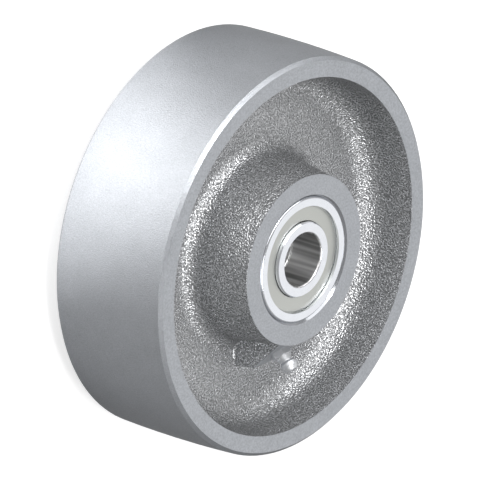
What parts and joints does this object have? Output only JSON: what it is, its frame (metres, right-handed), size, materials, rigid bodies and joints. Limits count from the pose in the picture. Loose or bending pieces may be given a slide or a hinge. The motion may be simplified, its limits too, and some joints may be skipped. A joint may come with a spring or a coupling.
{
  "type": "heavy-duty wheel",
  "caption": "Solid cast iron wheel with machined tread, grease nipple and shielded ball bearings on a spacer tube.",
  "frame": {"origin": "the wheel's centre: on the axle's axis, half-way across the tread", "axes": "+Z along the axle's axis, out of the side with the grease nipple; the nipple is on the -Y side; the wheel lies on its rear hub face"},
  "size_m": [0.15, 0.15, 0.06],
  "materials": {
    "casting": "silver-grey paint on the rough cast recesses, fine-turned tread and faces",
    "rings": "ground and polished bearing steel",
    "shields": "satin pressed sheet steel",
    "balls": "mirror-polished bearing steel",
    "cages": "pressed sheet steel, tumbled",
    "spacer": "turned steel tube",
    "nipple": "bright zinc-plated turned steel"
  },
  "bodies": {
    "wheel": {"wheel_casting": "casting", "front_outer_ring": "rings", "rear_outer_ring": "rings", "front_shield": "shields", "rear_shield": "shields", "nipple_body": "nipple", "nipple_spring": "nipple"},
    "axle_sleeve": {"front_inner_ring": "rings", "rear_inner_ring": "rings", "spacer_tube": "spacer"},
    "front_cage": {"front_cage_outer_half": "cages", "front_cage_inner_half": "cages", "front_cage_rivets": "cages"},
    "front_ball_1": {"front_ball_1": "balls"},
    "front_ball_2": {"front_ball_2": "balls"},
    "front_ball_3": {"front_ball_3": "balls"},
    "front_ball_4": {"front_ball_4": "balls"},
    "front_ball_5": {"front_ball_5": "balls"},
    "front_ball_6": {"front_ball_6": "balls"},
    "front_ball_7": {"front_ball_7": "balls"},
    "front_ball_8": {"front_ball_8": "balls"},
    "rear_cage": {"rear_cage_outer_half": "cages", "rear_cage_inner_half": "cages", "rear_cage_rivets": "cages"},
    "rear_ball_1": {"rear_ball_1": "balls"},
    "rear_ball_2": {"rear_ball_2": "balls"},
    "rear_ball_3": {"rear_ball_3": "balls"},
    "rear_ball_4": {"rear_ball_4": "balls"},
    "rear_ball_5": {"rear_ball_5": "balls"},
    "rear_ball_6": {"rear_ball_6": "balls"},
    "rear_ball_7": {"rear_ball_7": "balls"},
    "rear_ball_8": {"rear_ball_8": "balls"},
    "nipple_check_ball": {"nipple_ball": "balls"}
  },
  "joints": [
    {"name": "sleeve_spin", "type": "hinge", "parent": "wheel", "child": "axle_sleeve", "pos_m": [0, 0, 0], "axis": [0, 0, 1], "continuous": true},
    {"name": "front_cage_spin", "type": "hinge", "parent": "wheel", "child": "front_cage", "pos_m": [0, 0, 0.0228], "axis": [0, 0, 1], "continuous": true},
    {"name": "front_ball_1_roll", "type": "hinge", "parent": "front_cage", "child": "front_ball_1", "pos_m": [0.01675, 0, 0.0228], "axis": [0, 0, 1], "continuous": true},
    {"name": "front_ball_2_roll", "type": "hinge", "parent": "front_cage", "child": "front_ball_2", "pos_m": [0.01184, 0.01184, 0.0228], "axis": [0, 0, 1], "continuous": true},
    {"name": "front_ball_3_roll", "type": "hinge", "parent": "front_cage", "child": "front_ball_3", "pos_m": [0, 0.01675, 0.0228], "axis": [0, 0, 1], "continuous": true},
    {"name": "front_ball_4_roll", "type": "hinge", "parent": "front_cage", "child": "front_ball_4", "pos_m": [-0.01184, 0.01184, 0.0228], "axis": [0, 0, 1], "continuous": true},
    {"name": "front_ball_5_roll", "type": "hinge", "parent": "front_cage", "child": "front_ball_5", "pos_m": [-0.01675, 0, 0.0228], "axis": [0, 0, 1], "continuous": true},
    {"name": "front_ball_6_roll", "type": "hinge", "parent": "front_cage", "child": "front_ball_6", "pos_m": [-0.01184, -0.01184, 0.0228], "axis": [0, 0, 1], "continuous": true},
    {"name": "front_ball_7_roll", "type": "hinge", "parent": "front_cage", "child": "front_ball_7", "pos_m": [0, -0.01675, 0.0228], "axis": [0, 0, 1], "continuous": true},
    {"name": "front_ball_8_roll", "type": "hinge", "parent": "front_cage", "child": "front_ball_8", "pos_m": [0.01184, -0.01184, 0.0228], "axis": [0, 0, 1], "continuous": true},
    {"name": "rear_cage_spin", "type": "hinge", "parent": "wheel", "child": "rear_cage", "pos_m": [0, 0, -0.0228], "axis": [0, 0, 1], "continuous": true},
    {"name": "rear_ball_1_roll", "type": "hinge", "parent": "rear_cage", "child": "rear_ball_1", "pos_m": [0.01675, 0, -0.0228], "axis": [0, 0, 1], "continuous": true},
    {"name": "rear_ball_2_roll", "type": "hinge", "parent": "rear_cage", "child": "rear_ball_2", "pos_m": [0.01184, -0.01184, -0.0228], "axis": [0, 0, 1], "continuous": true},
    {"name": "rear_ball_3_roll", "type": "hinge", "parent": "rear_cage", "child": "rear_ball_3", "pos_m": [0, -0.01675, -0.0228], "axis": [0, 0, 1], "continuous": true},
    {"name": "rear_ball_4_roll", "type": "hinge", "parent": "rear_cage", "child": "rear_ball_4", "pos_m": [-0.01184, -0.01184, -0.0228], "axis": [0, 0, 1], "continuous": true},
    {"name": "rear_ball_5_roll", "type": "hinge", "parent": "rear_cage", "child": "rear_ball_5", "pos_m": [-0.01675, 0, -0.0228], "axis": [0, 0, 1], "continuous": true},
    {"name": "rear_ball_6_roll", "type": "hinge", "parent": "rear_cage", "child": "rear_ball_6", "pos_m": [-0.01184, 0.01184, -0.0228], "axis": [0, 0, 1], "continuous": true},
    {"name": "rear_ball_7_roll", "type": "hinge", "parent": "rear_cage", "child": "rear_ball_7", "pos_m": [0, 0.01675, -0.0228], "axis": [0, 0, 1], "continuous": true},
    {"name": "rear_ball_8_roll", "type": "hinge", "parent": "rear_cage", "child": "rear_ball_8", "pos_m": [0.01184, 0.01184, -0.0228], "axis": [0, 0, 1], "continuous": true},
    {"name": "check_ball_lift", "type": "slide", "parent": "wheel", "child": "nipple_check_ball", "axis": [0, 0.7071, -0.7071], "range_m": [0, 0.0006], "stiffness_N_per_m": 400, "springref_m": -0.0005, "deforming": ["nipple_spring"]}
  ],
  "couplings": [
    {"joint": "front_cage_spin", "follows": "sleeve_spin", "ratio": 0.38152},
    {"joint": "front_ball_1_roll", "follows": "sleeve_spin", "ratio": -1.9916},
    {"joint": "front_ball_2_roll", "follows": "sleeve_spin", "ratio": -1.9916},
    {"joint": "front_ball_3_roll", "follows": "sleeve_spin", "ratio": -1.9916},
    {"joint": "front_ball_4_roll", "follows": "sleeve_spin", "ratio": -1.9916},
    {"joint": "front_ball_5_roll", "follows": "sleeve_spin", "ratio": -1.9916},
    {"joint": "front_ball_6_roll", "follows": "sleeve_spin", "ratio": -1.9916},
    {"joint": "front_ball_7_roll", "follows": "sleeve_spin", "ratio": -1.9916},
    {"joint": "front_ball_8_roll", "follows": "sleeve_spin", "ratio": -1.9916},
    {"joint": "rear_cage_spin", "follows": "sleeve_spin", "ratio": 0.38152},
    {"joint": "rear_ball_1_roll", "follows": "sleeve_spin", "ratio": -1.9916},
    {"joint": "rear_ball_2_roll", "follows": "sleeve_spin", "ratio": -1.9916},
    {"joint": "rear_ball_3_roll", "follows": "sleeve_spin", "ratio": -1.9916},
    {"joint": "rear_ball_4_roll", "follows": "sleeve_spin", "ratio": -1.9916},
    {"joint": "rear_ball_5_roll", "follows": "sleeve_spin", "ratio": -1.9916},
    {"joint": "rear_ball_6_roll", "follows": "sleeve_spin", "ratio": -1.9916},
    {"joint": "rear_ball_7_roll", "follows": "sleeve_spin", "ratio": -1.9916},
    {"joint": "rear_ball_8_roll", "follows": "sleeve_spin", "ratio": -1.9916}
  ]
}
